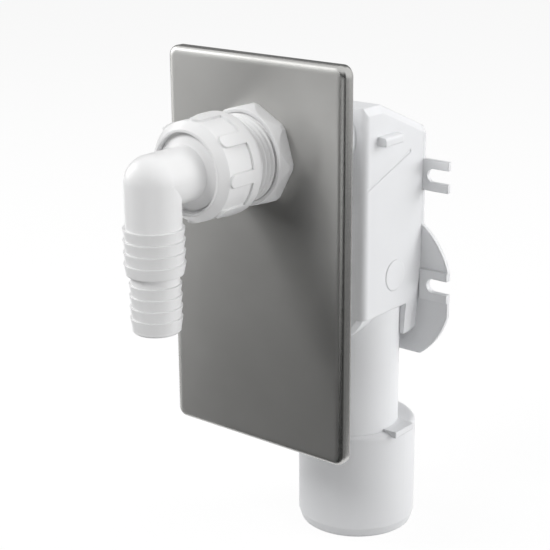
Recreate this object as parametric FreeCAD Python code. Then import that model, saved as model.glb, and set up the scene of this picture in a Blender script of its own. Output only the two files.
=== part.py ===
import FreeCAD, Part
import math
import os

from FreeCAD import Vector

# Concealed washing machine trap: a hose elbow on a threaded inlet, a pressed wall plate,
# a trap housing with a water seal and an eccentric outlet pipe.
# Frame: origin on the outlet spigot's axis at the lower end of its straight wall,
# +Z up, +Y towards the wall, X across the front.

# Outlet pipe
spigot_radius = 25.0
spigot_wall = 1.8
spigot_length = 40.2
lead_in_height = 3.8
lead_in_depth = 1.2
shoulder_rounding = 2.3
tube_radius = 20.0
tube_wall = 1.8
tube_offset = 4.4
lug_overhang = 1.0
lug_length = 13.0
lug_shift = 1.8
lug_rise = 3.4
lug_thickness = 2.6

# Trap housing
body_side_step = 0.25
body_front_step = 0.2
body_rear_step = 0.4
body_bottom = 95.5
roof_rise = 12.1
roof_flat = 11.4
roof_drop = 12.5
body_wall = 2.0
front_rounding = 3.0
roof_edge_drop = 3.2
roof_edge_inset = 1.6
barrel_step = 0.05
barrel_axis_rise = 8.0
barrel_chamfer = 2.0
nozzle_wall = 2.0
nozzle_length = 7.0
weir_drop = 2.5
weir_thickness = 1.8
side_lug_length = 12.0
side_lug_reach = 4.1
side_lug_height = 3.4
side_lug_setback = 8.0
side_lug_drop = 12.2
side_lug_rounding = 1.2
gusset_thickness = 3.0
gusset_depth = 10.0
gusset_height = 13.0
gusset_lean = 2.0
rear_chamfer_rise = 12.0
rear_chamfer_length = 8.0
rear_chamfer_depth = 2.1
deck_line_width = 1.2
deck_line_depth = 0.2
wall_pad_radius = 6.5
wall_pad_height = 0.2
wall_pad_setback = 21.5
wall_pad_rise = 14.5

# Dip partition inside the housing
partition_thickness = 1.8
deck_front_drop = 9.1
deck_rise = 10.0
downcomer_depth = 9.0
dip_gap = 6.5

# Rear plate with its fixing ears
rear_thickness = 1.8
plug_depth = 2.0
plug_wall = 2.0
disc_radius = 35.0
disc_axis_rise = 3.2
disc_side_cut = 1.3
disc_drop = 24.9
upper_ear_reach = 32.5
upper_ear_height = 13.0
upper_slot_drop = 20.7
upper_slot_width = 5.8
lower_slot_rise = 6.4
lower_slot_width = 6.0
upper_slot_root = 22.3
lower_slot_root = 23.8
lower_pad_height = 13.2
lower_pad_step = 1.0

# Inlet line
inlet_height = 169.6
inlet_bore = 10.5
thread_radius = 16.6
boss_wall = 2.55
boss_length = 10.0
socket_wall = 2.5
ring_depth = 1.8
ring_width = 2.2
ring_chamfer = 0.5
ring_side_play = 0.3
ring_setback = 4.0

# Wall plate
plate_width = 84.0
plate_height = 152.5
plate_centre_drop = 39.6
plate_depth = 5.4
plate_sheet = 1.0
plate_corner = 4.0
plate_edge_rounding = 2.8
plate_back_stand_off = 38.2

# Lock ring that clamps the wall plate
lock_ring_length = 6.2
lock_ring_wall = 1.8
lock_ring_corner_rise = 1.1
lock_ring_sides = 8
lock_ring_turn = -6.0
lock_ring_chamfer = 1.4
exposed_thread = 11.3

# Union nut
nut_length = 19.5
nut_wall = 1.7
nut_grip_rise = 0.8
nut_front_land = 1.0
nut_mouth_clearance = 0.9
nut_cone = 3.2
nut_collar = 4.2
nut_lip = 2.4
nut_rib_width = 5.0
nut_rib_count = 8
nut_rib_turn = 3.7

# Hose elbow and its flat seal
elbow_radius = 10.0
elbow_wall = 2.8
elbow_reach = 16.6
elbow_flange = 2.1
elbow_flange_play = 0.7
elbow_collar_step = 2.2
elbow_collar_recess = 1.9
elbow_cone = 1.7
seal_thickness = 2.0
barb_start_drop = 15.9
big_barb_rise = 1.0
big_barb_depth = 0.8
big_barb_pitch = 4.2
big_barb_count = 4
barb_step = 3.4
barb_narrowing = 1.6
small_barb_depth = 0.7
small_barb_pitch = 4.15
small_barb_count = 4
barb_tail = 1.4
barb_end_chamfer = 0.6

# Clearances
fit_clearance = 0.05
slide_clearance = 0.1
hole_clearance = 0.3

# Places worked out from the sizes above
tube_axis_y = -tube_offset
body_half_width = tube_radius + body_side_step
barrel_radius = body_half_width - barrel_step
body_front_y = tube_axis_y - tube_radius + body_front_step
body_rear_y = tube_axis_y + tube_radius + body_rear_step
shoulder_top = spigot_length + shoulder_rounding
gusset_foot = body_bottom - gusset_height
boss_front_y = body_front_y - boss_length
plate_back_y = body_front_y - plate_back_stand_off
plate_front_y = plate_back_y - plate_depth
lock_ring_front_y = plate_front_y - lock_ring_length
nut_rear_y = lock_ring_front_y - exposed_thread
nut_front_y = nut_rear_y - nut_length
nut_seat_y = nut_front_y + nut_lip
elbow_flange_rear_y = nut_seat_y + fit_clearance + elbow_flange
inlet_front_y = elbow_flange_rear_y + seal_thickness
elbow_axis_y = nut_front_y - elbow_reach
elbow_flange_radius = thread_radius - elbow_flange_play
elbow_collar_radius = elbow_flange_radius - elbow_collar_step
elbow_bore = elbow_radius - elbow_wall
big_barb_radius = elbow_radius + big_barb_rise
big_barb_root = big_barb_radius - big_barb_depth
small_barb_radius = big_barb_radius - barb_narrowing
small_barb_root = small_barb_radius - small_barb_depth
nut_mouth_radius = elbow_collar_radius + nut_mouth_clearance
nut_front_radius = nut_mouth_radius + nut_front_land
nut_barrel_radius = thread_radius + nut_wall
nut_grip_radius = nut_barrel_radius + nut_grip_rise
lock_ring_flat_radius = thread_radius + lock_ring_wall
lock_ring_corner_radius = lock_ring_flat_radius + lock_ring_corner_rise
body_roof = inlet_height + roof_rise
roof_kink_y = body_front_y + roof_flat
roof_fall = roof_drop / (body_rear_y - roof_kink_y)
roof_rear = body_roof - roof_drop
inner_half_width = body_half_width - body_wall
inner_floor = body_bottom + body_wall
inner_front_y = body_front_y + body_wall
nozzle_radius = tube_radius - tube_wall - fit_clearance
outlet_bore = nozzle_radius - nozzle_wall
weir_rear_y = tube_axis_y + weir_thickness / 2
dip_rear_y = body_rear_y - downcomer_depth
dip_front_y = dip_rear_y - partition_thickness
deck_front_height = inlet_height - inlet_bore - deck_front_drop
deck_rear_height = deck_front_height + deck_rise
weir_top = deck_front_height - weir_drop
barrel_axis_height = body_bottom + barrel_axis_rise
barrel_low = barrel_axis_height - barrel_radius
rear_back_y = body_rear_y + rear_thickness
disc_half_width = disc_radius - disc_side_cut
disc_axis_height = body_bottom + disc_axis_rise
disc_bottom = body_bottom - disc_drop
upper_slot_height = roof_rear - upper_slot_drop
lower_slot_height = body_bottom + lower_slot_rise
plate_centre_height = inlet_height - plate_centre_drop
socket_radius = inlet_bore + socket_wall
boss_radius = socket_radius + fit_clearance + boss_wall
ring_y = boss_front_y + ring_setback

X_AXIS = Vector(1, 0, 0)
Y_AXIS = Vector(0, 1, 0)
Z_AXIS = Vector(0, 0, 1)


def polygon_face(points):
    return Part.Face(Part.makePolygon(points + [points[0]]))


def turned_about_inlet(profile):
    """Solid of revolution about the inlet axis from (radius, y) points."""
    points = [Vector(radius, y, 0) for radius, y in profile]
    solid = polygon_face(points).revolve(Vector(0, 0, 0), Y_AXIS, 360)
    return solid.translated(Vector(0, 0, inlet_height))


def turned_about_vertical(profile, axis_y):
    """Solid of revolution about a vertical axis from (radius, z) points."""
    points = [Vector(radius, 0, z) for radius, z in profile]
    solid = polygon_face(points).revolve(Vector(0, 0, 0), Z_AXIS, 360)
    return solid.translated(Vector(0, axis_y, 0))


def upright(radius, low, high, axis_y):
    return Part.makeCylinder(radius, high - low, Vector(0, axis_y, low), Z_AXIS)


def along_inlet(radius, front_y, rear_y):
    return Part.makeCylinder(radius, rear_y - front_y, Vector(0, front_y, inlet_height), Y_AXIS)


def block(x_low, x_high, y_low, y_high, z_low, z_high):
    return Part.makeBox(x_high - x_low, y_high - y_low, z_high - z_low, Vector(x_low, y_low, z_low))


def mirrored(shape):
    return shape.mirror(Vector(0, 0, 0), X_AXIS)


def side_outline(front_y, rear_y, bottom, inset):
    """Side view of the housing: upright front, level roof, then a roof that falls to the rear."""
    stretch = math.hypot(1, roof_fall)
    flat_end_y = roof_kink_y - inset * (stretch - 1) / roof_fall
    rear_top = roof_rear - inset * stretch - roof_fall * (rear_y - body_rear_y)
    return [
        Vector(0, front_y, bottom),
        Vector(0, rear_y, bottom),
        Vector(0, rear_y, rear_top),
        Vector(0, flat_end_y, body_roof - inset),
        Vector(0, front_y, body_roof - inset),
    ]


def housing_block(half_width, outline):
    face = polygon_face(outline).translated(Vector(-half_width, 0, 0))
    return face.extrude(Vector(2 * half_width, 0, 0))


def edges_where(shape, test):
    return [edge for edge in shape.Edges if test(edge)]


def is_front_upright(edge):
    box = edge.BoundBox
    return box.YMax < body_front_y + body_wall / 2 and box.ZLength > body_wall and box.XLength < body_wall


def roof_edge_trim():
    """Bevel along the roof's side edge: level at the front, then down the slope to the back."""
    inner_x = body_half_width - roof_edge_inset
    outer_x = body_half_width + body_wall
    section = polygon_face([
        Vector(body_half_width, 0, -roof_edge_drop),
        Vector(inner_x, 0, 0),
        Vector(inner_x, 0, body_wall),
        Vector(outer_x, 0, body_wall),
        Vector(outer_x, 0, -roof_edge_drop),
    ])
    run = rear_back_y - roof_kink_y
    level = section.translated(Vector(0, body_front_y, body_roof)).extrude(Vector(0, roof_flat, 0))
    slope = section.translated(Vector(0, roof_kink_y, body_roof)).extrude(Vector(0, run, -roof_fall * run))
    return level.fuse(slope)


def trap_body():
    """Moulded housing, open at the rear, with the weir, outlet nozzle, inlet socket and clip lugs."""
    outer = housing_block(body_half_width, side_outline(body_front_y, body_rear_y, body_bottom, 0))
    outer = outer.makeFillet(front_rounding, edges_where(outer, is_front_upright))
    trims = roof_edge_trim().fuse(deck_line())
    outer = outer.cut(trims).cut(mirrored(trims))
    outer = outer.fuse(underside())
    outer = outer.fuse(along_inlet(boss_radius, boss_front_y, inner_front_y))
    trim = side_lug().fuse(wall_pad())
    outer = outer.fuse(trim).fuse(mirrored(trim))
    chamfer = rear_chamfer()
    outer = outer.cut(chamfer).cut(mirrored(chamfer))
    cavity_rear = body_rear_y + body_wall
    cavity_outline = side_outline(inner_front_y, cavity_rear, inner_floor, body_wall)
    cavity = housing_block(inner_half_width, cavity_outline)
    weir = block(-inner_half_width, inner_half_width, weir_rear_y - weir_thickness, weir_rear_y,
                 inner_floor, weir_top)
    shell = outer.cut(cavity.cut(weir))
    drop_shaft = upright(outlet_bore, body_bottom - nozzle_length, inner_floor, tube_axis_y)
    ahead = block(-body_half_width, body_half_width, body_front_y, weir_rear_y - weir_thickness,
                  body_bottom - nozzle_length, inner_floor + body_wall)
    below = upright(outlet_bore, body_bottom - nozzle_length, body_bottom, tube_axis_y)
    shell = shell.cut(drop_shaft.common(ahead).fuse(below))
    shell = shell.cut(along_inlet(inlet_bore, body_front_y, inner_front_y + body_wall))
    shell = shell.cut(along_inlet(socket_radius + fit_clearance, boss_front_y, body_front_y))
    return shell.removeSplitter()


def underside():
    """Nozzle for the outlet pipe, the round barrel's lower wall and the two rear gussets."""
    nozzle = upright(nozzle_radius, body_bottom - nozzle_length, body_bottom + body_wall, tube_axis_y)
    barrel_start = Vector(0, body_front_y, barrel_axis_height)
    barrel = Part.makeCylinder(barrel_radius, body_rear_y - body_front_y, barrel_start, Y_AXIS)
    front_rim = edges_where(barrel, lambda edge: edge.BoundBox.YMax < body_front_y + body_wall)
    barrel = barrel.makeChamfer(barrel_chamfer, front_rim)
    floor_band = block(-barrel_radius, barrel_radius, body_front_y, body_rear_y,
                       barrel_low, body_bottom + body_wall)
    wall = barrel.common(floor_band)
    gusset = rear_gusset()
    wall = wall.fuse(gusset).fuse(mirrored(gusset))
    lowest = min(gusset_foot, barrel_low)
    pipe_room = upright(tube_radius + slide_clearance, lowest, body_bottom, tube_axis_y)
    return wall.cut(pipe_room).fuse(nozzle)


def rear_gusset():
    """Web below the side wall that stiffens the rear plate's lower disc."""
    inner_x = body_half_width - gusset_thickness
    front_y = body_rear_y - gusset_depth
    top = body_bottom + body_wall
    outline = [
        Vector(inner_x, front_y, top),
        Vector(inner_x, body_rear_y, top),
        Vector(inner_x, body_rear_y, gusset_foot),
        Vector(inner_x, front_y - gusset_lean, gusset_foot),
    ]
    return polygon_face(outline).extrude(Vector(gusset_thickness, 0, 0))


def rear_chamfer():
    """Wedge that trims the rear side edge, widening from nothing down to the gusset's foot."""
    corner = Vector(body_half_width, body_rear_y, gusset_foot)
    ahead = Vector(body_half_width, body_rear_y - rear_chamfer_length, gusset_foot)
    inward = Vector(body_half_width - rear_chamfer_depth, body_rear_y, gusset_foot)
    apex = Part.Vertex(body_half_width, body_rear_y, body_bottom + rear_chamfer_rise)
    return Part.makeLoft([Part.makePolygon([corner, ahead, inward, corner]), apex], True)


def side_lug():
    """Clip lug near the top of each side wall, with a rounded upper edge."""
    front_y = body_front_y + side_lug_setback
    high = body_roof - side_lug_drop
    outer_x = body_half_width + side_lug_reach
    lug = block(inner_half_width + body_wall / 2, outer_x, front_y, front_y + side_lug_length,
                high - side_lug_height, high)
    upper = edges_where(lug, lambda edge: edge.BoundBox.ZMin > high - fit_clearance
                        and edge.BoundBox.XMin > body_half_width)
    return lug.makeFillet(side_lug_rounding, upper)


def deck_line():
    """Shallow line in the side wall that follows the deck behind it."""
    floor_x = body_half_width - deck_line_depth
    slope = deck_rise / (dip_front_y - inner_front_y)
    low = deck_front_height - slope * (inner_front_y - body_front_y)
    high = deck_rear_height + slope * partition_thickness
    outline = [
        Vector(floor_x, body_front_y, low),
        Vector(floor_x, dip_rear_y, high),
        Vector(floor_x, dip_rear_y, high - deck_line_width),
        Vector(floor_x, body_front_y, low - deck_line_width),
    ]
    return polygon_face(outline).extrude(Vector(deck_line_depth, 0, 0))


def wall_pad():
    """Slightly raised round pad low on the side wall."""
    root_x = body_half_width - body_wall / 2
    centre = Vector(root_x, body_front_y + wall_pad_setback, body_bottom + wall_pad_rise)
    return Part.makeCylinder(wall_pad_radius, body_wall / 2 + wall_pad_height, centre, X_AXIS)


def dip_partition():
    """One bent wall: a deck that rises from the front and a dip wall that hangs into the water."""
    half_width = inner_half_width - slide_clearance
    lip = inner_floor + dip_gap
    run = dip_front_y - inner_front_y
    rise = deck_rear_height - deck_front_height
    thick_up = partition_thickness * math.hypot(1, rise / run)
    outline = [
        Vector(-half_width, inner_front_y, deck_front_height),
        Vector(-half_width, inner_front_y, deck_front_height - thick_up),
        Vector(-half_width, dip_front_y, deck_rear_height - thick_up),
        Vector(-half_width, dip_front_y, lip),
        Vector(-half_width, dip_rear_y, lip),
        Vector(-half_width, dip_rear_y, deck_rear_height),
        Vector(-half_width, dip_front_y, deck_rear_height),
    ]
    return polygon_face(outline).extrude(Vector(2 * half_width, 0, 0))


def open_slot(height, width, root, reach):
    """Round-ended slot, open at the outer edge, that a fixing screw slides into."""
    radius = width / 2
    front_y = body_rear_y - lower_pad_step
    depth = lower_pad_step + rear_thickness
    end = Part.makeCylinder(radius, depth, Vector(root + radius, front_y, height), Y_AXIS)
    mouth = block(root + radius, reach, front_y, front_y + depth, height - radius, height + radius)
    return end.fuse(mouth)


def rear_plate():
    """Back of the housing: closing panel with a locating rim, upper ears and a lower fixing disc."""
    panel = housing_block(body_half_width, [
        Vector(0, body_rear_y, body_bottom),
        Vector(0, rear_back_y, body_bottom),
        Vector(0, rear_back_y, roof_rear - roof_fall * rear_thickness),
        Vector(0, body_rear_y, roof_rear),
    ])
    trim = roof_edge_trim()
    panel = panel.cut(trim).cut(mirrored(trim))
    disc = Part.makeCylinder(disc_radius, rear_thickness, Vector(0, body_rear_y, disc_axis_height), Y_AXIS)
    disc = disc.common(block(-disc_half_width, disc_half_width, body_rear_y, rear_back_y,
                             disc_bottom, disc_axis_height + disc_radius))
    half_pad = lower_pad_height / 2
    pad_root = body_half_width + slide_clearance
    pad = block(pad_root, disc_half_width, body_rear_y - lower_pad_step, body_rear_y,
                lower_slot_height - half_pad, lower_slot_height + half_pad)
    half_ear = upper_ear_height / 2
    ears = block(-upper_ear_reach, upper_ear_reach, body_rear_y, rear_back_y,
                 upper_slot_height - half_ear, upper_slot_height + half_ear)
    plate = panel.fuse(disc).fuse(ears).fuse(pad).fuse(mirrored(pad))
    beyond = disc_half_width + upper_ear_reach
    upper = open_slot(upper_slot_height, upper_slot_width, upper_slot_root, beyond)
    lower = open_slot(lower_slot_height, lower_slot_width, lower_slot_root, beyond)
    slots = upper.fuse(lower)
    plate = plate.cut(slots).cut(mirrored(slots))
    pipe_relief = upright(tube_radius + slide_clearance, disc_bottom, body_bottom, tube_axis_y)
    return plate.cut(pipe_relief).fuse(locating_rim()).removeSplitter()


def locating_rim():
    """Shallow frame on the rear plate that drops into the open back of the housing."""
    outline_front = body_rear_y - plug_depth
    inset = body_wall + slide_clearance
    outer = housing_block(body_half_width - inset,
                          side_outline(outline_front, body_rear_y, body_bottom + inset, inset))
    inset_inner = inset + plug_wall
    inner = housing_block(body_half_width - inset_inner,
                          side_outline(outline_front, body_rear_y, body_bottom + inset_inner, inset_inner))
    return rear_slice(outer).cut(rear_slice(inner))


def rear_slice(solid):
    wide = 2 * body_half_width
    return solid.common(block(-wide, wide, body_rear_y - plug_depth, body_rear_y, body_bottom, body_roof))


def outlet_pipe():
    """Eccentric outlet: a narrow upper tube on a wide spigot, with a lug on each side of the shoulder."""
    foot = -lead_in_height
    spigot = turned_about_vertical([
        (0, foot),
        (spigot_radius - lead_in_depth, foot),
        (spigot_radius, 0),
        (spigot_radius, shoulder_top),
        (0, shoulder_top),
    ], 0)
    rim = edges_where(spigot, lambda edge: edge.BoundBox.ZMin > spigot_length)
    spigot = spigot.makeFillet(shoulder_rounding, rim)
    tube = upright(tube_radius, 0, body_bottom, tube_axis_y)
    lug_top = spigot_length + lug_rise
    lug = block(0, spigot_radius + lug_overhang, -lug_shift - lug_length / 2, lug_length / 2 - lug_shift,
                lug_top - lug_thickness, lug_top)
    solid = spigot.fuse(tube).fuse(lug).fuse(mirrored(lug))
    hollow = upright(spigot_radius - spigot_wall, foot, shoulder_top - spigot_wall, 0)
    neck = upright(tube_radius - tube_wall, spigot_length - spigot_wall, body_bottom, tube_axis_y)
    return solid.cut(hollow).cut(neck).removeSplitter()


def inlet_tube():
    """Threaded tube through the wall plate, with a spigot and ring groove at its rear end."""
    thread_end_y = boss_front_y
    spigot_end_y = body_front_y - fit_clearance
    half_groove = ring_width / 2 + ring_side_play
    groove_radius = socket_radius - ring_depth
    return turned_about_inlet([
        (inlet_bore, inlet_front_y),
        (thread_radius, inlet_front_y),
        (thread_radius, thread_end_y),
        (socket_radius, thread_end_y),
        (socket_radius, ring_y - half_groove),
        (groove_radius, ring_y - half_groove),
        (groove_radius, ring_y + half_groove),
        (socket_radius, ring_y + half_groove),
        (socket_radius, spigot_end_y),
        (inlet_bore, spigot_end_y),
    ])


def inlet_ring():
    """Rubber sealing ring with a crowned outer face, in the groove of the inlet tube."""
    inner = socket_radius - ring_depth
    half = ring_width / 2
    return turned_about_inlet([
        (inner, ring_y - half),
        (socket_radius - ring_chamfer, ring_y - half),
        (socket_radius, ring_y),
        (socket_radius - ring_chamfer, ring_y + half),
        (inner, ring_y + half),
    ])


def rounded_panel(inset, front_y, back_y, edge_rounding):
    """Plate blank with rounded corners and a rounded front edge."""
    half_width = plate_width / 2 - inset
    half_height = plate_height / 2 - inset
    panel = block(-half_width, half_width, front_y, back_y,
                  plate_centre_height - half_height, plate_centre_height + half_height)
    corners = edges_where(panel, lambda edge: edge.BoundBox.YLength > plate_sheet)
    panel = panel.makeFillet(plate_corner - inset, corners)
    front = edges_where(panel, lambda edge: edge.BoundBox.YMax < front_y + fit_clearance)
    return panel.makeFillet(edge_rounding, front)


def cover_plate():
    """Pressed sheet with a rolled edge, turned back towards the wall, and a hole for the inlet."""
    blank = rounded_panel(0, plate_front_y, plate_back_y, plate_edge_rounding)
    dish = rounded_panel(plate_sheet, plate_front_y + plate_sheet, plate_back_y + plate_sheet,
                         plate_edge_rounding - plate_sheet)
    return blank.cut(dish).cut(along_inlet(thread_radius + hole_clearance, plate_front_y, plate_back_y))


def plate_lock_ring():
    """Eight-sided ring on the inlet thread that presses the wall plate home, its corners turned off."""
    corner = lock_ring_flat_radius / math.cos(math.pi / lock_ring_sides)
    corners = []
    for index in range(lock_ring_sides):
        angle = math.radians(lock_ring_turn + index * 360 / lock_ring_sides)
        corners.append(Vector(corner * math.cos(angle), lock_ring_front_y,
                              inlet_height + corner * math.sin(angle)))
    prism = polygon_face(corners).extrude(Vector(0, lock_ring_length, 0))
    turned = turned_about_inlet([
        (thread_radius + fit_clearance, lock_ring_front_y),
        (lock_ring_corner_radius - lock_ring_chamfer, lock_ring_front_y),
        (lock_ring_corner_radius, lock_ring_front_y + lock_ring_chamfer),
        (lock_ring_corner_radius, plate_front_y),
        (thread_radius + fit_clearance, plate_front_y),
    ])
    return prism.common(turned).removeSplitter()


def nut_rib():
    """One raised grip rib with a half-round front end."""
    radius = nut_rib_width / 2
    tip_y = nut_front_y + nut_cone + radius
    collar_y = nut_rear_y - nut_collar
    root = (thread_radius + nut_barrel_radius) / 2
    height = nut_grip_radius - root
    bar = block(root, root + height + nut_rib_width, tip_y, collar_y + fit_clearance, -radius, radius)
    tip = Part.makeCylinder(radius, height + nut_rib_width, Vector(root, tip_y, 0), X_AXIS)
    rib = bar.fuse(tip).translated(Vector(0, 0, inlet_height))
    return rib.common(along_inlet(nut_grip_radius, nut_front_y, nut_rear_y))


def union_nut():
    """Ribbed nut that draws the elbow's flange onto the inlet tube."""
    collar_y = nut_rear_y - nut_collar
    bore = thread_radius + fit_clearance
    nut = turned_about_inlet([
        (nut_mouth_radius, nut_front_y),
        (nut_front_radius, nut_front_y),
        (nut_barrel_radius, nut_front_y + nut_cone),
        (nut_barrel_radius, collar_y),
        (nut_grip_radius, collar_y),
        (nut_grip_radius, nut_rear_y),
        (bore, nut_rear_y),
        (bore, nut_seat_y),
        (nut_mouth_radius, nut_seat_y),
    ])
    rib = nut_rib()
    axis_point = Vector(0, 0, inlet_height)
    for index in range(nut_rib_count):
        copy = rib.copy()
        copy.rotate(axis_point, Y_AXIS, nut_rib_turn + index * 360 / nut_rib_count)
        nut = nut.fuse(copy)
    return nut.removeSplitter()


def union_seal():
    """Flat rubber washer between the elbow's flange and the inlet tube."""
    return turned_about_inlet([
        (inlet_bore, elbow_flange_rear_y),
        (elbow_flange_radius, elbow_flange_rear_y),
        (elbow_flange_radius, inlet_front_y),
        (inlet_bore, inlet_front_y),
    ])


def barb_profile():
    """Outline of the hose tail: two sets of ramps that narrow towards the free end."""
    height = inlet_height - barb_start_drop
    profile = [(0, inlet_height), (elbow_radius, inlet_height), (elbow_radius, height)]
    for index in range(big_barb_count):
        profile.append((big_barb_radius, height))
        height -= big_barb_pitch
        profile.append((big_barb_root, height))
    profile.append((small_barb_root, height))
    height -= barb_step
    profile.append((small_barb_root, height))
    for index in range(small_barb_count):
        profile.append((small_barb_radius, height))
        height -= small_barb_pitch
        profile.append((small_barb_root, height))
    height -= barb_tail
    profile.append((small_barb_root, height + barb_end_chamfer))
    profile.append((small_barb_root - barb_end_chamfer, height))
    profile.append((0, height))
    return profile


def hose_elbow():
    """Elbow with a clamped flange, a rounded outer corner and a barbed hose tail pointing down."""
    profile = barb_profile()
    tail_end = profile[-1][1]
    tail = turned_about_vertical(profile, elbow_axis_y)
    corner = elbow_corner(elbow_radius)
    collar_front_y = nut_front_y + elbow_collar_recess
    flange_front_y = nut_seat_y + fit_clearance
    arm = turned_about_inlet([
        (0, elbow_axis_y),
        (elbow_radius, elbow_axis_y),
        (elbow_radius, collar_front_y - elbow_cone),
        (elbow_collar_radius, collar_front_y),
        (elbow_collar_radius, flange_front_y),
        (elbow_flange_radius, flange_front_y),
        (elbow_flange_radius, elbow_flange_rear_y),
        (0, elbow_flange_rear_y),
    ])
    solid = tail.fuse(corner).fuse(arm)
    drop = upright(elbow_bore, tail_end, inlet_height, elbow_axis_y)
    run = along_inlet(elbow_bore, elbow_axis_y, elbow_flange_rear_y)
    bore = drop.fuse(elbow_corner(elbow_bore)).fuse(run)
    return solid.cut(bore).removeSplitter()


def elbow_corner(radius):
    """Rounded outer corner: a half disc swung from the arm's end to the top of the tail."""
    centre = Vector(0, elbow_axis_y, inlet_height)
    left = centre - X_AXIS * radius
    right = centre + X_AXIS * radius
    arc = Part.Arc(left, centre + Z_AXIS * radius, right).toShape()
    half_disc = Part.Face(Part.Wire([arc, Part.makeLine(right, left)]))
    return half_disc.revolve(centre, X_AXIS, 90)


SUB_PARTS = {
    "trap_body": trap_body,
    "dip_partition": dip_partition,
    "rear_plate": rear_plate,
    "outlet_pipe": outlet_pipe,
    "inlet_tube": inlet_tube,
    "inlet_ring": inlet_ring,
    "cover_plate": cover_plate,
    "plate_lock_ring": plate_lock_ring,
    "union_nut": union_nut,
    "union_seal": union_seal,
    "hose_elbow": hose_elbow,
}

os.makedirs("parts", exist_ok=True)
for name, make in SUB_PARTS.items():
    shape = make()
    shape.exportStep("parts/" + name + ".step")
    print(name, "solids", len(shape.Solids), "valid", shape.isValid(), "volume", round(shape.Volume, 1))
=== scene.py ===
import math

import bpy
from mathutils import Matrix, Vector


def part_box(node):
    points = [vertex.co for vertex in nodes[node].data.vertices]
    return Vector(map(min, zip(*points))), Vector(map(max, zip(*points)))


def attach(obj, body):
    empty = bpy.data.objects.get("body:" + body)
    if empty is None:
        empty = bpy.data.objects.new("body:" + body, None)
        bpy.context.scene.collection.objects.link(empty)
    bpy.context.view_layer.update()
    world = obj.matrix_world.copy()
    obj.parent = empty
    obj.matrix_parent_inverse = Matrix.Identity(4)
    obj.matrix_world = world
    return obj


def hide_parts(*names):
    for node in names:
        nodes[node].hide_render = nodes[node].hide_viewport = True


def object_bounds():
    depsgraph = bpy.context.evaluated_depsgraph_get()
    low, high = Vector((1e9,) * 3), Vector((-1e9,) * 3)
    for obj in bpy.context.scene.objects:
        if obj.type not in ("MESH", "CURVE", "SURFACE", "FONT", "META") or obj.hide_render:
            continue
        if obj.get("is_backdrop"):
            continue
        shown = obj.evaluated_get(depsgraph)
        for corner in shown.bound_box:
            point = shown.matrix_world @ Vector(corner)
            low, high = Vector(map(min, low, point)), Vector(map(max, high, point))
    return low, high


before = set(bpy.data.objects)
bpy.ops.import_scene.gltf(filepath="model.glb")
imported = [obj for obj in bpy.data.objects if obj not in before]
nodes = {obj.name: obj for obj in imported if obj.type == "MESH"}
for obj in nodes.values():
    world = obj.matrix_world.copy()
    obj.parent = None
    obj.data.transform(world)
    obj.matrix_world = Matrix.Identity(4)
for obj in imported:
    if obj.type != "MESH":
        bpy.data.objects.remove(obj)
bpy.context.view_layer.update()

MM = 0.001

# Camera at the photograph's viewing angle
CAMERA_PLACE = Vector((0.34542, -0.47813, 0.29541))
CAMERA_RIGHT = Vector((0.77606, 0.63061, -0.00731))
CAMERA_UP = Vector((-0.18811, 0.24253, 0.95172))
CAMERA_BACK = Vector((0.60195, -0.73722, 0.30685))
CAMERA_LENS = 97.0
SENSOR_WIDTH = 36.0
CLIP_START = 0.01

# White plastic: noise scales per metre, noise detail and the mould grain
CLOUD_SCALE = 22.0
GLOSS_SCALE = 160.0
PLASTIC_DETAIL = 3.0
GRAIN_SCALE = 2200.0
GRAIN_HEIGHT = 0.00003
GRAIN_STRENGTH = 0.25
PLASTIC_IOR = 1.49
EDGE_SAMPLES = 6

# Stainless sheet: tints, brush lines, gloss range and the share of it on the rim
STEEL_DARK = (0.513, 0.51, 0.496)
STEEL_LIGHT = (0.553, 0.55, 0.536)
STEEL_CLOUD_SCALE = 30.0
STEEL_CLOUD_DETAIL = 3.0
BRUSH_STRETCH = (1, 1, 60)
BRUSH_SCALE = 60.0
BRUSH_DETAIL = 4.0
BRUSH_ROUGHNESS = 0.6
BRUSH_HEIGHT = 0.00002
BRUSH_STRENGTH = 0.05
STEEL_SMOOTH = 0.32
STEEL_ROUGH = 0.40
STEEL_EDGE = 0.0015
RIM_SHARE = 0.5
RIM_NORMAL = 0.85
FACE_NORMAL = 0.995

# Black rubber
RUBBER_DARK = (0.018, 0.018, 0.018)
RUBBER_LIGHT = (0.035, 0.035, 0.034)
RUBBER_CLOUD_SCALE = 120.0
RUBBER_CLOUD_DETAIL = 3.0
RUBBER_GLOSS_SCALE = 300.0
RUBBER_SMOOTH = 0.55
RUBBER_ROUGH = 0.75
RUBBER_GRAIN_SCALE = 1800.0
RUBBER_GRAIN_HEIGHT = 0.00005
RUBBER_GRAIN_STRENGTH = 0.4

# Inlet thread, a one inch pipe thread
INLET_AXIS_HEIGHT = 169.6 * MM
THREAD_CREST = 16.6 * MM
THREAD_DEPTH = 1.479 * MM
THREAD_PITCH = 2.309 * MM
THREAD_FRONT = -98.25 * MM
THREAD_REAR = -34.2 * MM
INLET_BORE = 10.5 * MM
INLET_SPIGOT = 13.0 * MM
INLET_SPIGOT_END = -24.25 * MM
THREAD_FADE = 2.4 * MM
THREAD_SAMPLES = 10
THREAD_STEPS = 120
CREST_SHARE = 0.12
FLANK_SHARE = 0.76
ROUNDED_SHARE = 0.45
STRAIGHT_SHARE = 0.55

# Lock ring: a round front edge that runs out into eight flats
RING_BORE = 16.65 * MM
RING_FRONT_RADIUS = 17.95 * MM
RING_EDGE_RADIUS = 18.2 * MM
RING_FLAT_RADIUS = 18.4 * MM
RING_CORNER_RADIUS = 19.5 * MM
RING_EDGE = 0.25 * MM
RING_TAPER = 4.0 * MM
RING_SIDES = 8
RING_TURN = math.radians(-6.0)
RING_SAMPLES = 8
RING_STEPS = 240

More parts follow.
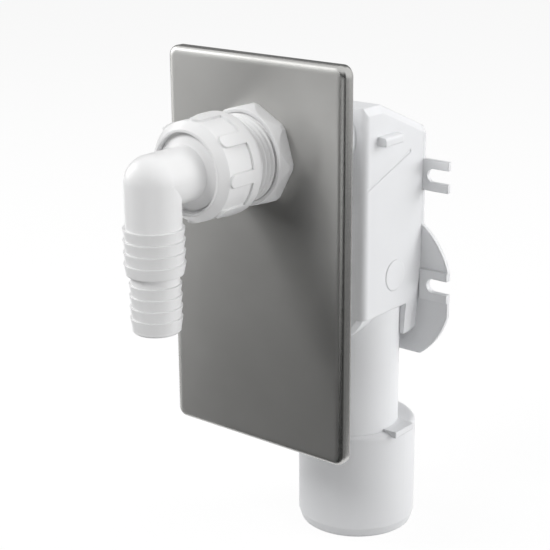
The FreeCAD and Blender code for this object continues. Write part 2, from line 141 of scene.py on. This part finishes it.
# Floor and world: the glow is what camera, glossy and transmission rays see
FLOOR_SIZE = 14.0
FLOOR_DROP = 0.0002
FLOOR_COLOR = (0.60, 0.60, 0.60, 1)
FLOOR_GLOW = 1.08
FLOOR_GLOW_SHARE = 0.85
WORLD_LIGHT = 0.12
WORLD_BACKGROUND = 1.0
WHITE = (1, 1, 1, 1)

# Studio lamps: name, place, width, height, power, seen in reflections
CENTRE = (0, -0.05, 0.11)
LAMPS = (
    ("right_softbox", (0.87, 0.68, 0.52), 0.9, 0.9, 10.0, False),
    ("side_softbox", (1.14, -0.15, 0.42), 0.6, 0.6, 3.0, False),
    ("left_softbox", (-1.00, -0.32, 0.60), 0.7, 0.7, 4.8, True),
    ("front_softbox", (-0.24, -1.01, 1.10), 0.7, 0.5, 10.4, False),
    ("top_softbox", (0.0, 0.10, 1.15), 0.8, 0.8, 2.5, False),
)

# Studio cards round the plate, seen only in reflections, which grade the steel
CARD_LIFT = 0.0005
CARD_NEAR = -0.08
CARD_FAR = -0.45
CARD_LEFT = -1.50
CARD_RIGHT = 1.30
CARD_SPLIT_NEAR = -0.02
CARD_SPLIT_FAR = -0.36
FLAG_RIGHT = 0.10
FLAG_TOP = 0.19
CARD_REAR = 0.75
CARD_REAR_LEFT = 0.11
ROOM_FRONT = -1.30
ROOM_TOP = 1.20
ROOM_BACK_NEAR = (-1.40, 0.30)
ROOM_BACK_FAR = (-0.10, 1.30)
HIGH_CARD_PLACE = (-0.72, -0.54, 1.03)
HIGH_CARD_SIZE = 0.40
HIGH_CARD = 2.3
DARK_CARD = 0.03
REAR_CARD = 0.18
BACK_CARD = 0.20
LEFT_CARD_NEAR = 0.04
LEFT_CARD_FAR = 0.10


def new_material(name):
    material = bpy.data.materials.new(name)
    material.use_nodes = True
    tree = material.node_tree
    tree.nodes.clear()
    return material, tree


def add_node(tree, kind, **inputs):
    node = tree.nodes.new(kind)
    for name, value in inputs.items():
        node.inputs[name.replace("_", " ")].default_value = value
    return node


def object_coordinates(tree, stretch=(1, 1, 1)):
    source = tree.nodes.new("ShaderNodeTexCoord")
    mapping = tree.nodes.new("ShaderNodeMapping")
    mapping.inputs["Scale"].default_value = stretch
    tree.links.new(source.outputs["Object"], mapping.inputs["Vector"])
    return mapping.outputs["Vector"]


def noise(tree, coordinates, scale, detail=2.0, roughness=0.5):
    node = add_node(tree, "ShaderNodeTexNoise", Scale=scale, Detail=detail, Roughness=roughness)
    tree.links.new(coordinates, node.inputs["Vector"])
    return node.outputs["Fac"]


def spread(tree, value, low, high):
    """Maps a 0.2 to 0.8 noise value to a range."""
    node = add_node(tree, "ShaderNodeMapRange", From_Min=0.2, From_Max=0.8, To_Min=low, To_Max=high)
    tree.links.new(value, node.inputs["Value"])
    return node.outputs["Result"]


def tint(tree, value, low, high):
    ramp = tree.nodes.new("ShaderNodeValToRGB")
    ramp.color_ramp.interpolation = "EASE"
    ramp.color_ramp.elements[0].position = 0.2
    ramp.color_ramp.elements[1].position = 0.8
    ramp.color_ramp.elements[0].color = (*low, 1)
    ramp.color_ramp.elements[1].color = (*high, 1)
    tree.links.new(value, ramp.inputs["Fac"])
    return ramp.outputs["Color"]


def soft_edges(tree, radius):
    bevel = tree.nodes.new("ShaderNodeBevel")
    bevel.samples = EDGE_SAMPLES
    bevel.inputs["Radius"].default_value = radius
    return bevel.outputs["Normal"]


def grain(tree, height, distance, strength, normal=None):
    bump = add_node(tree, "ShaderNodeBump", Strength=strength, Distance=distance)
    tree.links.new(height, bump.inputs["Height"])
    if normal is not None:
        tree.links.new(normal, bump.inputs["Normal"])
    return bump.outputs["Normal"]


def shade(tree, color, roughness, normal, **constants):
    shader = add_node(tree, "ShaderNodeBsdfPrincipled", **constants)
    tree.links.new(color, shader.inputs["Base Color"])
    tree.links.new(roughness, shader.inputs["Roughness"])
    tree.links.new(normal, shader.inputs["Normal"])
    output = tree.nodes.new("ShaderNodeOutputMaterial")
    tree.links.new(shader.outputs["BSDF"], output.inputs["Surface"])
    return shader


def white_plastic(name, low, high, smooth, rough, edge):
    """Moulded white plastic: faint cloudiness, uneven gloss and a fine mould grain."""
    material, tree = new_material(name)
    place = object_coordinates(tree)
    color = tint(tree, noise(tree, place, CLOUD_SCALE, PLASTIC_DETAIL), low, high)
    gloss = spread(tree, noise(tree, place, GLOSS_SCALE, PLASTIC_DETAIL), smooth, rough)
    normal = grain(tree, noise(tree, place, GRAIN_SCALE), GRAIN_HEIGHT, GRAIN_STRENGTH,
                   soft_edges(tree, edge))
    shade(tree, color, gloss, normal, IOR=PLASTIC_IOR)
    return material


def face_share(tree, rim):
    """1 on the flat face, which looks along Y, falling to the rim's value on the rounded edge."""
    surface = tree.nodes.new("ShaderNodeNewGeometry")
    axes = tree.nodes.new("ShaderNodeSeparateXYZ")
    tree.links.new(surface.outputs["True Normal"], axes.inputs[0])
    size = tree.nodes.new("ShaderNodeMath")
    size.operation = "ABSOLUTE"
    tree.links.new(axes.outputs["Y"], size.inputs[0])
    share = add_node(tree, "ShaderNodeMapRange", From_Min=RIM_NORMAL, From_Max=FACE_NORMAL,
                     To_Min=rim, To_Max=1.0)
    tree.links.new(size.outputs[0], share.inputs["Value"])
    return share.outputs["Result"]


def stainless(name):
    """Satin stainless sheet, brushed across the face and smoother on the pressed rim."""
    material, tree = new_material(name)
    lines = noise(tree, object_coordinates(tree, BRUSH_STRETCH), BRUSH_SCALE, BRUSH_DETAIL,
                  BRUSH_ROUGHNESS)
    clouds = noise(tree, object_coordinates(tree), STEEL_CLOUD_SCALE, STEEL_CLOUD_DETAIL)
    color = tint(tree, clouds, STEEL_DARK, STEEL_LIGHT)
    gloss = tree.nodes.new("ShaderNodeMath")
    gloss.operation = "MULTIPLY"
    tree.links.new(spread(tree, lines, STEEL_SMOOTH, STEEL_ROUGH), gloss.inputs[0])
    tree.links.new(face_share(tree, RIM_SHARE), gloss.inputs[1])
    normal = grain(tree, lines, BRUSH_HEIGHT, BRUSH_STRENGTH, soft_edges(tree, STEEL_EDGE))
    across = tree.nodes.new("ShaderNodeTangent")
    across.direction_type = "RADIAL"
    across.axis = "Z"
    shader = shade(tree, color, gloss.outputs[0], normal, Metallic=1.0, Anisotropic=1.0,
                   Anisotropic_Rotation=0.25)
    tree.links.new(across.outputs["Tangent"], shader.inputs["Tangent"])
    return material


def rubber(name):
    material, tree = new_material(name)
    place = object_coordinates(tree)
    clouds = noise(tree, place, RUBBER_CLOUD_SCALE, RUBBER_CLOUD_DETAIL)
    color = tint(tree, clouds, RUBBER_DARK, RUBBER_LIGHT)
    gloss = spread(tree, noise(tree, place, RUBBER_GLOSS_SCALE), RUBBER_SMOOTH, RUBBER_ROUGH)
    normal = grain(tree, noise(tree, place, RUBBER_GRAIN_SCALE), RUBBER_GRAIN_HEIGHT,
                   RUBBER_GRAIN_STRENGTH)
    shade(tree, color, gloss, normal)
    return material


def dress(piece, material):
    piece.data.materials.clear()
    piece.data.materials.append(material)


def closed_lathe(name, rings, steps):
    """Closed mesh turned about the inlet axis. Each ring is (y, radius function of the angle)."""
    count = len(rings)
    points = []
    for y, radius_at in rings:
        for step in range(steps):
            angle = 2 * math.pi * step / steps
            radius = radius_at(angle)
            points.append((radius * math.cos(angle), y,
                           INLET_AXIS_HEIGHT + radius * math.sin(angle)))
    faces = []
    for ring in range(count):
        after = (ring + 1) % count
        for step in range(steps):
            turn = (step + 1) % steps
            faces.append((ring * steps + step, ring * steps + turn,
                          after * steps + turn, after * steps + step))
    mesh = bpy.data.meshes.new(name)
    mesh.from_pydata(points, [], faces)
    mesh.validate()
    mesh.update()
    piece = bpy.data.objects.new(name, mesh)
    bpy.context.scene.collection.objects.link(piece)
    return piece


def thread_profile(phase):
    """Depth share over one pitch: flat crest, straight flank, rounded root."""
    share = abs(2 * (phase % 1.0) - 1)
    rise = min(max((share - CREST_SHARE) / FLANK_SHARE, 0.0), 1.0)
    return rise * rise * (3 - 2 * rise) * ROUNDED_SHARE + rise * STRAIGHT_SHARE


def threaded_inlet():
    """Inlet tube with its thread cut as a helix that fades out at both ends."""
    rings = [(THREAD_FRONT, lambda angle: INLET_BORE)]
    count = int(round((THREAD_REAR - THREAD_FRONT) / THREAD_PITCH * THREAD_SAMPLES))
    for index in range(count + 1):
        y = THREAD_FRONT + (THREAD_REAR - THREAD_FRONT) * index / count
        end_distance = min(y - THREAD_FRONT, THREAD_REAR - y)
        share = min(end_distance / THREAD_FADE, 1.0)

        def radius_at(angle, y=y, share=share):
            phase = y / THREAD_PITCH + angle / (2 * math.pi)
            return THREAD_CREST - THREAD_DEPTH * share * thread_profile(phase)

        rings.append((y, radius_at))
    rings.append((THREAD_REAR, lambda angle: INLET_SPIGOT))
    rings.append((INLET_SPIGOT_END, lambda angle: INLET_SPIGOT))
    rings.append((INLET_SPIGOT_END, lambda angle: INLET_BORE))
    return closed_lathe("inlet_thread", rings, THREAD_STEPS)


def flats_radius(angle):
    """Distance from the axis to the flats at an angle."""
    side = 2 * math.pi / RING_SIDES
    return RING_FLAT_RADIUS / math.cos((angle - RING_TURN) % side - side / 2)


def tapered_lock_ring():
    """Lock ring whose round front edge widens until it meets the flats."""
    low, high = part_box("plate_lock_ring")
    front, rear = low[1], high[1]
    rings = [(front, lambda angle: RING_BORE), (front, lambda angle: RING_FRONT_RADIUS)]
    for index in range(RING_SAMPLES + 1):
        reach = RING_EDGE_RADIUS + (RING_CORNER_RADIUS - RING_EDGE_RADIUS) * index / RING_SAMPLES
        rings.append((front + RING_EDGE + RING_TAPER * index / RING_SAMPLES,
                      lambda angle, reach=reach: min(reach, flats_radius(angle))))
    rings.append((rear, lambda angle: min(RING_CORNER_RADIUS, flats_radius(angle))))
    rings.append((rear, lambda angle: RING_BORE))
    return closed_lathe("tapered_lock_ring", rings, RING_STEPS)


# Both gloss ranges stay above 0.275: a range across it gave patches with sharp borders
plastic = white_plastic("moulded_white", low=(0.797, 0.804, 0.818), high=(0.817, 0.824, 0.838),
                        smooth=0.34, rough=0.39, edge=0.0008)
glossy = white_plastic("moulded_white_gloss", low=(0.826, 0.826, 0.828), high=(0.844, 0.844, 0.846),
                       smooth=0.28, rough=0.32, edge=0.0006)
steel = stainless("satin_stainless")
black = rubber("black_rubber")

for name in ("trap_body", "dip_partition", "rear_plate", "outlet_pipe"):
    dress(nodes[name], plastic)
for name in ("union_nut", "hose_elbow"):
    dress(nodes[name], glossy)
for name in ("inlet_ring", "union_seal"):
    dress(nodes[name], black)
dress(nodes["cover_plate"], steel)

inlet = threaded_inlet()
dress(inlet, glossy)
inlet.data.shade_smooth()
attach(inlet, "root")
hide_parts("inlet_tube")

ring = tapered_lock_ring()
dress(ring, glossy)
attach(ring, "root")
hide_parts("plate_lock_ring")


def background_share(tree):
    """1 for rays that show the background: camera, glossy and transmission rays."""
    path = tree.nodes.new("ShaderNodeLightPath")
    first = tree.nodes.new("ShaderNodeMath")
    first.operation = "MAXIMUM"
    second = tree.nodes.new("ShaderNodeMath")
    second.operation = "MAXIMUM"
    tree.links.new(path.outputs["Is Camera Ray"], first.inputs[0])
    tree.links.new(path.outputs["Is Glossy Ray"], first.inputs[1])
    tree.links.new(first.outputs[0], second.inputs[0])
    tree.links.new(path.outputs["Is Transmission Ray"], second.inputs[1])
    return second.outputs[0]


def make_floor():
    """Pale floor that glows for the rays that show the background and keeps its shadow."""
    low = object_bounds()[0]
    bpy.ops.mesh.primitive_plane_add(size=FLOOR_SIZE, location=(0, 0, low[2] - FLOOR_DROP))
    floor = bpy.context.object
    floor.name = "studio_floor"
    material, tree = new_material("pale_floor")
    diffuse = add_node(tree, "ShaderNodeBsdfDiffuse", Color=FLOOR_COLOR)
    glow = add_node(tree, "ShaderNodeEmission", Color=WHITE, Strength=FLOOR_GLOW)
    weight = tree.nodes.new("ShaderNodeMath")
    weight.operation = "MULTIPLY"
    weight.inputs[1].default_value = FLOOR_GLOW_SHARE
    tree.links.new(background_share(tree), weight.inputs[0])
    mix = tree.nodes.new("ShaderNodeMixShader")
    tree.links.new(weight.outputs[0], mix.inputs[0])
    tree.links.new(diffuse.outputs[0], mix.inputs[1])
    tree.links.new(glow.outputs[0], mix.inputs[2])
    output = tree.nodes.new("ShaderNodeOutputMaterial")
    tree.links.new(mix.outputs[0], output.inputs["Surface"])
    dress(floor, material)
    floor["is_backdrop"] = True


def make_card(name, corners, near, far):
    """Studio card seen only in reflections, graded from its near to its far brightness along Y."""
    mesh = bpy.data.meshes.new(name)
    mesh.from_pydata(corners, [], [tuple(range(len(corners)))])
    card = bpy.data.objects.new(name, mesh)
    bpy.context.scene.collection.objects.link(card)
    material, tree = new_material(name)
    place = tree.nodes.new("ShaderNodeTexCoord")
    axes = tree.nodes.new("ShaderNodeSeparateXYZ")
    tree.links.new(place.outputs["Object"], axes.inputs[0])
    fade = add_node(tree, "ShaderNodeMapRange", From_Min=CARD_NEAR, From_Max=CARD_FAR,
                    To_Min=0.0, To_Max=1.0)
    tree.links.new(axes.outputs["Y"], fade.inputs["Value"])
    mix = tree.nodes.new("ShaderNodeMixShader")
    tree.links.new(fade.outputs["Result"], mix.inputs[0])
    for slot, strength in ((1, near), (2, far)):
        glow = add_node(tree, "ShaderNodeEmission", Color=WHITE, Strength=strength)
        tree.links.new(glow.outputs[0], mix.inputs[slot])
    output = tree.nodes.new("ShaderNodeOutputMaterial")
    tree.links.new(mix.outputs[0], output.inputs["Surface"])
    dress(card, material)
    card.visible_camera = False
    card.visible_diffuse = False
    card.visible_shadow = False
    card.visible_transmission = False
    card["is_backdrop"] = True


def make_cards():
    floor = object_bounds()[0][2] + CARD_LIFT
    near_split = (CARD_SPLIT_NEAR, CARD_NEAR, floor)
    far_split = (CARD_SPLIT_FAR, CARD_FAR, floor)
    near_left = (CARD_LEFT, CARD_NEAR, floor)
    far_left = (CARD_LEFT, CARD_FAR, floor)
    near_right = (CARD_RIGHT, CARD_NEAR, floor)
    far_right = (CARD_RIGHT, CARD_FAR, floor)
    rear_near_left = (CARD_REAR_LEFT, CARD_NEAR, floor)
    rear_far_left = (CARD_REAR_LEFT, CARD_REAR, floor)
    rear_far_right = (CARD_RIGHT, CARD_REAR, floor)
    make_card("floor_card_left", [near_split, near_left, far_left, far_split],
              LEFT_CARD_NEAR, LEFT_CARD_FAR)
    make_card("floor_card_front", [near_split, far_split, far_right, near_right],
              DARK_CARD, DARK_CARD)
    make_card("floor_card_rear", [rear_near_left, near_right, rear_far_right, rear_far_left],
              REAR_CARD, REAR_CARD)
    for name, first, second, top, strength in (
        ("flag_card", (CARD_SPLIT_FAR, CARD_FAR), (FLAG_RIGHT, CARD_FAR), FLAG_TOP, DARK_CARD),
        ("room_card_front", (FLAG_RIGHT, ROOM_FRONT), (CARD_RIGHT, ROOM_FRONT), ROOM_TOP, DARK_CARD),
        ("room_card_right", (CARD_RIGHT, ROOM_FRONT), (CARD_RIGHT, CARD_NEAR), ROOM_TOP, DARK_CARD),
        ("room_card_back", ROOM_BACK_NEAR, ROOM_BACK_FAR, ROOM_TOP, BACK_CARD),
    ):
        corners = [(*first, floor), (*second, floor), (*second, top), (*first, top)]
        make_card(name, corners, strength, strength)


def make_high_card():
    """Bright card high at the front left, turned to the plate's upper edge."""
    place = Vector(HIGH_CARD_PLACE)
    turn = (Vector(CENTRE) - place).to_track_quat("-Z", "Y").to_matrix()
    half = HIGH_CARD_SIZE / 2
    corners = [place + turn @ Vector((x * half, y * half, 0))
               for x, y in ((-1, -1), (1, -1), (1, 1), (-1, 1))]
    make_card("high_card", corners, HIGH_CARD, HIGH_CARD)


def make_world():
    world = bpy.data.worlds.new("studio")
    bpy.context.scene.world = world
    world.use_nodes = True
    tree = world.node_tree
    tree.nodes.clear()
    dim = add_node(tree, "ShaderNodeBackground", Color=WHITE, Strength=WORLD_LIGHT)
    white = add_node(tree, "ShaderNodeBackground", Color=WHITE, Strength=WORLD_BACKGROUND)
    mix = tree.nodes.new("ShaderNodeMixShader")
    tree.links.new(background_share(tree), mix.inputs[0])
    tree.links.new(dim.outputs[0], mix.inputs[1])
    tree.links.new(white.outputs[0], mix.inputs[2])
    output = tree.nodes.new("ShaderNodeOutputWorld")
    tree.links.new(mix.outputs[0], output.inputs["Surface"])


def softbox(name, place, target, width, height, power, mirrored):
    light = bpy.data.lights.new(name, "AREA")
    light.shape = "RECTANGLE"
    light.size = width
    light.size_y = height
    light.energy = power
    lamp = bpy.data.objects.new(name, light)
    lamp.visible_glossy = mirrored
    lamp.location = place
    lamp.rotation_euler = (Vector(target) - Vector(place)).to_track_quat("-Z", "Y").to_euler()
    bpy.context.scene.collection.objects.link(lamp)


def make_camera():
    camera = bpy.data.cameras.new("camera")
    camera.lens = CAMERA_LENS
    camera.sensor_width = SENSOR_WIDTH
    camera.clip_start = CLIP_START
    holder = bpy.data.objects.new("camera", camera)
    bpy.context.scene.collection.objects.link(holder)
    turn = Matrix((CAMERA_RIGHT, CAMERA_UP, CAMERA_BACK)).transposed().to_4x4()
    holder.matrix_world = Matrix.Translation(CAMERA_PLACE) @ turn
    bpy.context.scene.camera = holder


make_camera()
make_floor()
make_world()
for name, place, width, height, power, mirrored in LAMPS:
    softbox(name, place, CENTRE, width, height, power, mirrored)
make_cards()
make_high_card()

bpy.context.scene.view_settings.view_transform = "Standard"
